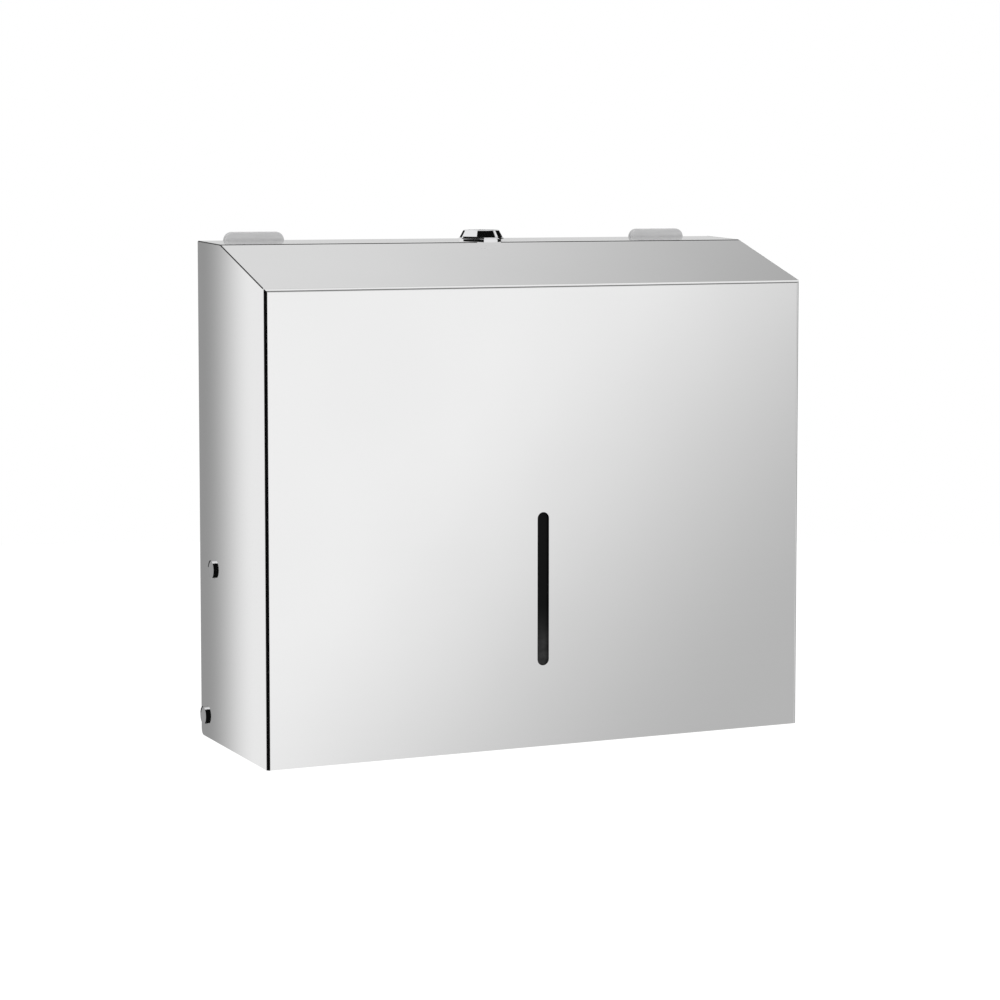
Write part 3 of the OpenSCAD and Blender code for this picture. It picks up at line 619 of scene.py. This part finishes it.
def studio_world():
    """White to the camera and through glass, a studio to bright metal, and even light on matt surfaces."""
    world = bpy.data.worlds.new("white_studio")
    bpy.context.scene.world = world
    world.use_nodes = True
    tree = world.node_tree
    tree.nodes.clear()
    path = add(tree, "ShaderNodeLightPath")
    surfaces = add(tree, "ShaderNodeMix", NUMBER, {
        "Factor": path.outputs["Is Glossy Ray"], "A": MATT_LEVEL, "B": mirrored_studio(tree),
    })
    seen = add(tree, "ShaderNodeMath", LARGER, {
        0: path.outputs["Is Camera Ray"], 1: path.outputs["Is Transmission Ray"],
    })
    level = add(tree, "ShaderNodeMix", NUMBER, {
        "Factor": seen.outputs["Value"], "A": surfaces.outputs["Result"], "B": 1.0,
    })
    background = add(tree, "ShaderNodeBackground", None, {
        "Color": WHITE, "Strength": level.outputs["Result"],
    })
    add(tree, "ShaderNodeOutputWorld", None, {"Surface": background.outputs["Background"]})


def studio_floor():
    """A pale floor well below, white to the camera and still taking the shadow."""
    radius, drop = 6.0, 0.8
    bm = bmesh.new()
    bmesh.ops.create_circle(bm, cap_ends=True, segments=96, radius=radius)
    bmesh.ops.translate(bm, verts=bm.verts, vec=(0, 0, -drop))
    floor = mesh_object("studio_floor", bm)
    mat, tree = bare_material("pale_floor_paint")
    path = add(tree, "ShaderNodeLightPath")
    seen = add(tree, "ShaderNodeMath", LARGER, {
        0: path.outputs["Is Camera Ray"], 1: path.outputs["Is Transmission Ray"],
    })
    lift = add(tree, "ShaderNodeMath", PRODUCT, {0: seen.outputs["Value"], 1: FLOOR_GLOW})
    glow = add(tree, "ShaderNodeEmission", None, {"Color": WHITE, "Strength": lift.outputs["Value"]})
    paint = add(tree, "ShaderNodeBsdfDiffuse", None, {"Color": srgb("#E6E6E6")})
    both = add(tree, "ShaderNodeAddShader", None, {0: glow.outputs["Emission"], 1: paint.outputs["BSDF"]})
    add(tree, "ShaderNodeOutputMaterial", None, {"Surface": both.outputs["Shader"]})
    floor.data.materials.append(mat)
    floor.visible_glossy = False


# Cards that only bright metal mirrors

def mirrored_only(card):
    """Keeps a card out of all but mirror reflections."""
    card.visible_camera = False
    card.visible_diffuse = False
    card.visible_shadow = False
    card.visible_transmission = False


def upright_card(bm, across, tall, place):
    """A flat upright card that faces the front."""
    upright = Matrix.Rotation(math.radians(90), 3, "X")
    made = bmesh.ops.create_grid(bm, x_segments=1, y_segments=1, size=0.5)
    bmesh.ops.scale(bm, vec=(across, tall, 1), verts=made["verts"])
    bmesh.ops.rotate(bm, cent=(0, 0, 0), matrix=upright, verts=made["verts"])
    bmesh.ops.translate(bm, verts=made["verts"], vec=place)


def bent_card(bm, centre, axis, edges, turns, steps=24):
    """A strip bent round an axis through centre, between two turns in degrees from straight ahead.

    Each of its two edges gives a radius and a place along the axis, in millimetres.
    """
    first, last = (math.radians(turn) for turn in turns)
    lead = Matrix.Rotation(first, 3, axis) @ AHEAD
    ends = [bm.verts.new(centre + (lead * radius + axis * along) * MM) for radius, along in edges]
    line = bm.edges.new(ends)
    bmesh.ops.spin(bm, geom=ends + [line], cent=centre, axis=axis, angle=last - first, steps=steps)


def side_cards():
    """Shaded cards beside the wall, seen only as the gradient that the two sides mirror."""
    across, tall = 182 * MM, 398 * MM
    beside, behind, drop = 211 * MM, 35 * MM, 81 * MM
    shade_start, shade_end = 152.5 * MM, 179 * MM
    bm = bmesh.new()
    for side in (-1, 1):
        upright_card(bm, across, tall, (side * beside, behind, -drop))
    cards = mesh_object("side_cards", bm)
    mat, tree = bare_material("shaded_card")
    where = add(tree, "ShaderNodeTexCoord")
    split = add(tree, "ShaderNodeSeparateXYZ", None, {"Vector": where.outputs["Object"]})
    out = add(tree, "ShaderNodeMath", {"operation": "ABSOLUTE"}, {0: split.outputs["X"]})
    shade = add(tree, "ShaderNodeMapRange", SOFT, {
        "Value": out.outputs["Value"], "From Min": shade_start, "From Max": shade_end,
        "To Min": 0.325, "To Max": 0.92,
    })
    glow = add(tree, "ShaderNodeEmission", None, {"Color": WHITE, "Strength": shade.outputs["Result"]})
    add(tree, "ShaderNodeOutputMaterial", None, {"Surface": glow.outputs["Emission"]})
    cards.data.materials.append(mat)
    mirrored_only(cards)


def near_card(name, bm, reach, level):
    """A card of one light level that only the metal within reach of it mirrors. It goes with the cover."""
    card = mesh_object(name, bm)
    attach(card, "cover")
    mat, tree = bare_material(name + "_board")
    path = add(tree, "ShaderNodeLightPath")
    near = add(tree, "ShaderNodeMath", {"operation": "LESS_THAN"}, {
        0: path.outputs["Ray Length"], 1: reach,
    })
    board = add(tree, "ShaderNodeEmission", None, {"Color": WHITE, "Strength": level})
    clear = add(tree, "ShaderNodeBsdfTransparent")
    both = add(tree, "ShaderNodeMixShader", None, {
        0: near.outputs["Value"], 1: clear.outputs["BSDF"], 2: board.outputs["Emission"],
    })
    add(tree, "ShaderNodeOutputMaterial", None, {"Surface": both.outputs["Shader"]})
    card.data.materials.append(mat)
    mirrored_only(card)


def pin_cards():
    """Black collars round the pin heads, before them and over their backs, and grey cards beside them."""
    # Each collar's two edges, in millimetres out from the side of the cover, and its turns over the head
    radius = 4.5
    front_span, front_turns = (-0.3, 1.7), (-88, 50)
    back_span, back_turns = (1.4, 3.5), (95, 172)
    face_radius, face_out, face_back = 5.2 * MM, 2.1 * MM, 0.8 * MM
    upright = Matrix.Rotation(math.radians(90), 3, "Y")
    fronts = bmesh.new()
    backs = bmesh.new()
    faces = bmesh.new()
    for side, hand in ((-1, "left"), (1, "right")):
        for pin in ("stop_pin_", "hinge_pin_"):
            low, high = node_box(pin + hand)
            seat = (low + high) / 2
            seat.x = side * SIDE_X
            for bm, span, turns in ((fronts, front_span, front_turns), (backs, back_span, back_turns)):
                edges = [(radius, -side * out) for out in span]
                bent_card(bm, seat, -RIGHT, edges, turns, steps=16)
            disc = bmesh.ops.create_circle(faces, cap_ends=True, segments=24, radius=face_radius)
            bmesh.ops.rotate(faces, cent=(0, 0, 0), matrix=upright, verts=disc["verts"])
            place = seat + Vector((side * face_out, face_back, 0))
            bmesh.ops.translate(faces, verts=disc["verts"], vec=place)
    near_card("pin_collars", fronts, reach=0.55 * MM, level=0.004)
    near_card("pin_back_collars", backs, reach=2.8 * MM, level=0.03)
    near_card("pin_face_cards", faces, reach=2.0 * MM, level=0.36)


def fold_card(name, side, turns, reach, level):
    """A card along a front fold, for the line that the fold mirrors."""
    # The card's radius, and how far it passes the two ends of the fold, in millimetres
    radius, below, above = 3.2, 0.5, 1.3
    fold_height = (SLOPE_Z - COVER_LOW.z) / MM
    foot = Vector((side * (SIDE_X - FOLD_RADIUS), FRONT_Y + FOLD_RADIUS, COVER_LOW.z))
    bm = bmesh.new()
    bent_card(bm, foot, UP, ((radius, -below), (radius, fold_height + above)), turns)
    near_card(name, bm, reach, level)


def bend_card():
    """Cards just over the bend behind the shoulder, for its dark line on both sides of the lock."""
    tall, back, lift = 1.0 * MM, 1.2 * MM, 0.6 * MM
    bm = bmesh.new()
    for start, end in ((-137 * MM, -4.8 * MM), (4.8 * MM, 139 * MM)):
        upright_card(bm, end - start, tall, ((start + end) / 2, BEND_Y + back, BEND_Z + lift))
    near_card("bend_card", bm, reach=3.2 * MM, level=0.004)


def lock_card(name, strips, reach, level):
    """A card close round the lock. Each strip gives its two edges and its two turns."""
    bm = bmesh.new()
    for edges, turns in strips:
        bent_card(bm, LOCK_SEAT, UP, edges, turns)
    near_card(name, bm, reach, level)


def lock_cards():
    """Black cards for the dark parts of the lock's bezel, and light ones for its rim and its foot."""
    # Radius and height over the bend of each strip's edges, in millimetres
    cone = ((10.75, 2.4), (9.05, 5.7))
    rim = ((11.4, -0.6), (11.4, 2.3))
    rim_top = ((10.35, 2.6), (11.05, 2.6))
    foot = ((11.5, -1.5), (11.5, 1.9))
    over_foot = ((11.5, 1.9), (11.5, 4.0))
    left, front, right = (-84, -16), (-16, 29), (29, 64)
    cone_strips = ((cone, (-116, -90)), (cone, (-36, 18)), (cone, right))
    rim_strips = ((rim, left), (rim_top, left), (rim, right), (rim_top, right))
    foot_strips = ((foot, (-85, 105)), (over_foot, (-50, 80)))
    lock_card("lock_cone_cards", cone_strips, reach=2.0 * MM, level=0.004)
    lock_card("lock_rim_cards", rim_strips, reach=1.7 * MM, level=0.01)
    lock_card("lock_bright_card", ((rim, front),), reach=1.7 * MM, level=0.92)
    lock_card("lock_foot_card", foot_strips, reach=11.5 * MM, level=0.70)


def soft_lamp(name, place, aim, size, power):
    """A square soft lamp that metal doesn't mirror as a spot."""
    data = bpy.data.lights.new(name, "AREA")
    data.shape = "SQUARE"
    data.size = size
    data.energy = power
    lamp = bpy.data.objects.new(name, data)
    lamp.location = place
    lamp.rotation_euler = (Vector(aim) - Vector(place)).to_track_quat("-Z", "Y").to_euler()
    lamp.visible_glossy = False
    lamp.visible_camera = False
    bpy.context.scene.collection.objects.link(lamp)


studio_world()
studio_floor()
side_cards()
pin_cards()
fold_card("left_fold_card", -1, (-2.3, -89), reach=2.4 * MM, level=0.003)
fold_card("right_fold_card", 1, (41, 95), reach=2.7 * MM, level=0.3)
bend_card()
lock_cards()
soft_lamp("key_lamp", place=(1.2, -1.6, 1.8), aim=(0, -0.05, 0), size=1.2, power=30)
soft_lamp("fill_lamp", place=(-1.6, -1.2, 1.0), aim=(0, -0.05, 0), size=1.2, power=12)


# Camera, solved on the corners of the cover in the photo

LOOK_DOWN = math.radians(4.471)
LOOK_RIGHT = math.radians(24.247)

camera_data = bpy.data.cameras.new("photo_camera")
camera_data.sensor_width = 36
camera_data.lens = 101.62
camera_data.shift_y = -0.10
camera_data.clip_end = 50
camera = bpy.data.objects.new("photo_camera", camera_data)
camera.location = (-0.55807, -1.28862, 0.14831)
camera.rotation_euler = (math.radians(90) - LOOK_DOWN, 0, -LOOK_RIGHT)
bpy.context.scene.collection.objects.link(camera)
bpy.context.scene.camera = camera

bpy.context.scene.view_settings.view_transform = "Standard"
